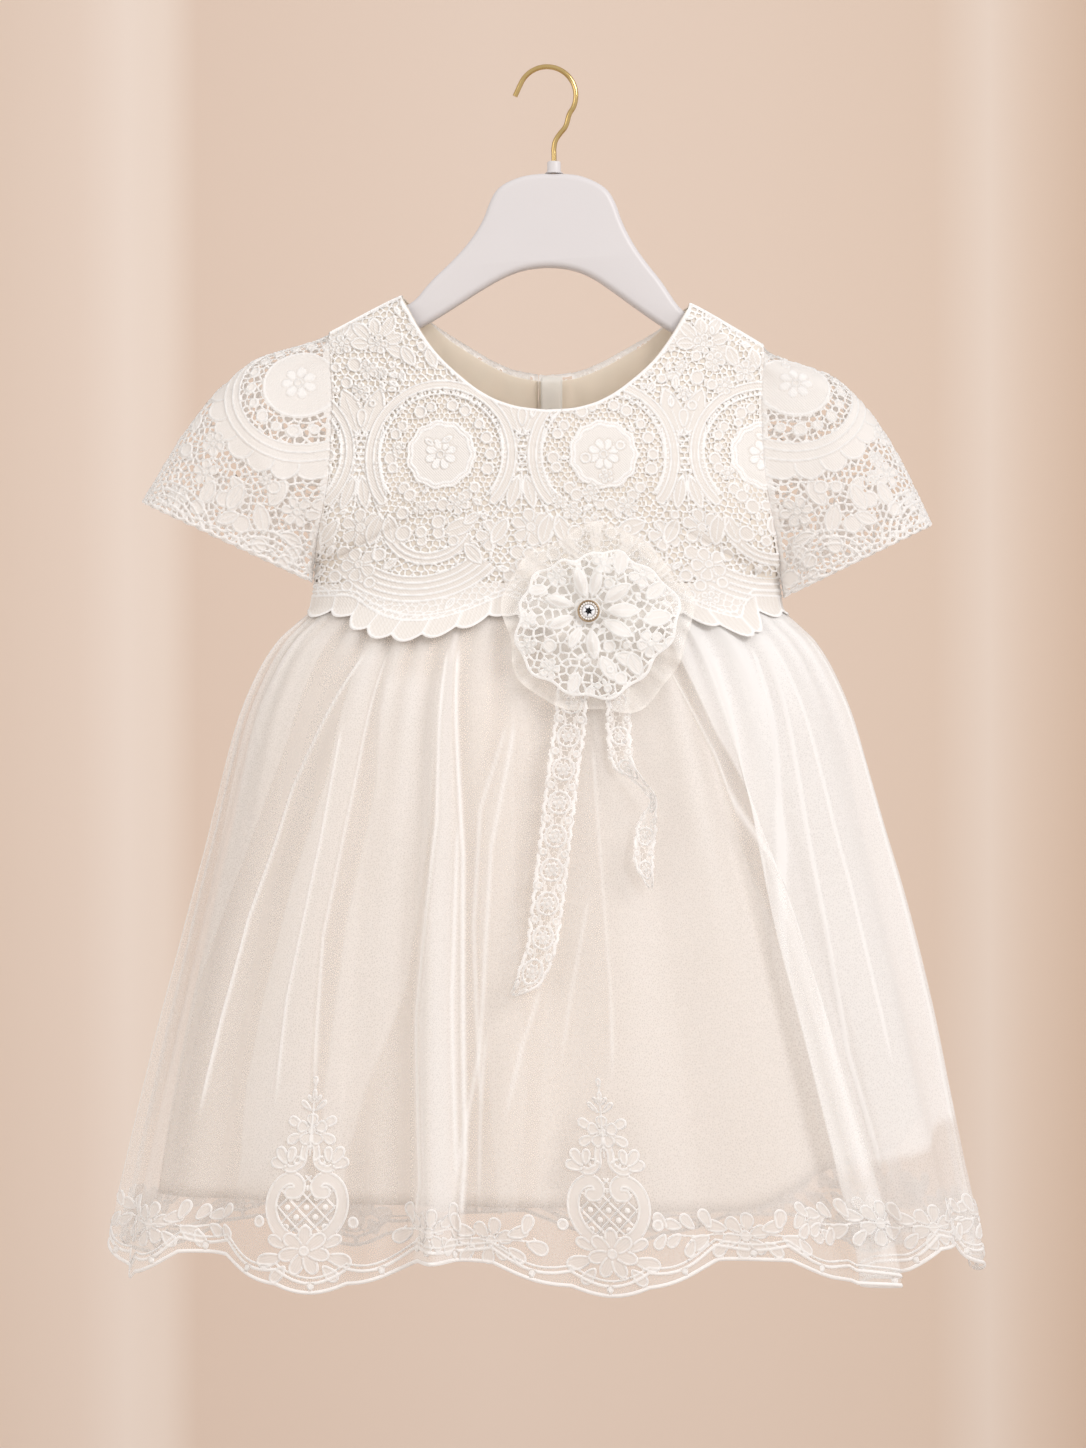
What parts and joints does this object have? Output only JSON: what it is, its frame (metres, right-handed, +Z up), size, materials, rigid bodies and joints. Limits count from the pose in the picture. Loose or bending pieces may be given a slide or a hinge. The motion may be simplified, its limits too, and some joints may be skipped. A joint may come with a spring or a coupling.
{
  "type": "baby christening dress on a clothes hanger",
  "caption": "Short baby christening dress with lace bodice, flared lace sleeves, gathered satin and tulle skirts and a lace flower, hung on a moulded hanger with a wire hook.",
  "frame": {"origin": "inside top of the hanger's hook, where a rail holds it", "axes": "+Z up along the hanging dress, -Y out of the front of the dress, X across it, shoulder to shoulder"},
  "size_m": [0.4589, 0.2175, 0.6349],
  "materials": {
    "satin_lining": "satin",
    "satin_underskirt": "satin",
    "guipure_lace": "matte",
    "tulle": "matte",
    "gold_metal": "polished",
    "crystal": "polished",
    "pearl_buttons": "pearl",
    "white_plastic": "satin"
  },
  "bodies": {
    "root": {"bodice_lining_back_left": "satin_lining", "bodice_lining_back_right": "satin_lining", "bodice_lining_front": "satin_lining", "back_placket": "satin_underskirt", "underskirt_back": "satin_underskirt", "underskirt_front": "satin_underskirt", "bodice_lace_back_left": "guipure_lace", "bodice_lace_back_right": "guipure_lace", "bodice_lace_front": "guipure_lace", "flower_lace": "guipure_lace", "sleeve_left_back": "guipure_lace", "sleeve_left_front": "guipure_lace", "sleeve_right_back": "guipure_lace", "sleeve_right_front": "guipure_lace", "tail_long": "guipure_lace", "tail_short": "guipure_lace", "flower_tulle_ruffle": "tulle", "overskirt_back": "tulle", "overskirt_front": "tulle", "flower_button_rim": "gold_metal", "hanger_hook": "gold_metal", "flower_crystal": "crystal", "back_button_1": "pearl_buttons", "back_button_2": "pearl_buttons", "back_button_3": "pearl_buttons", "hanger_body": "white_plastic", "hanger_collar": "white_plastic"}
  },
  "joints": []
}
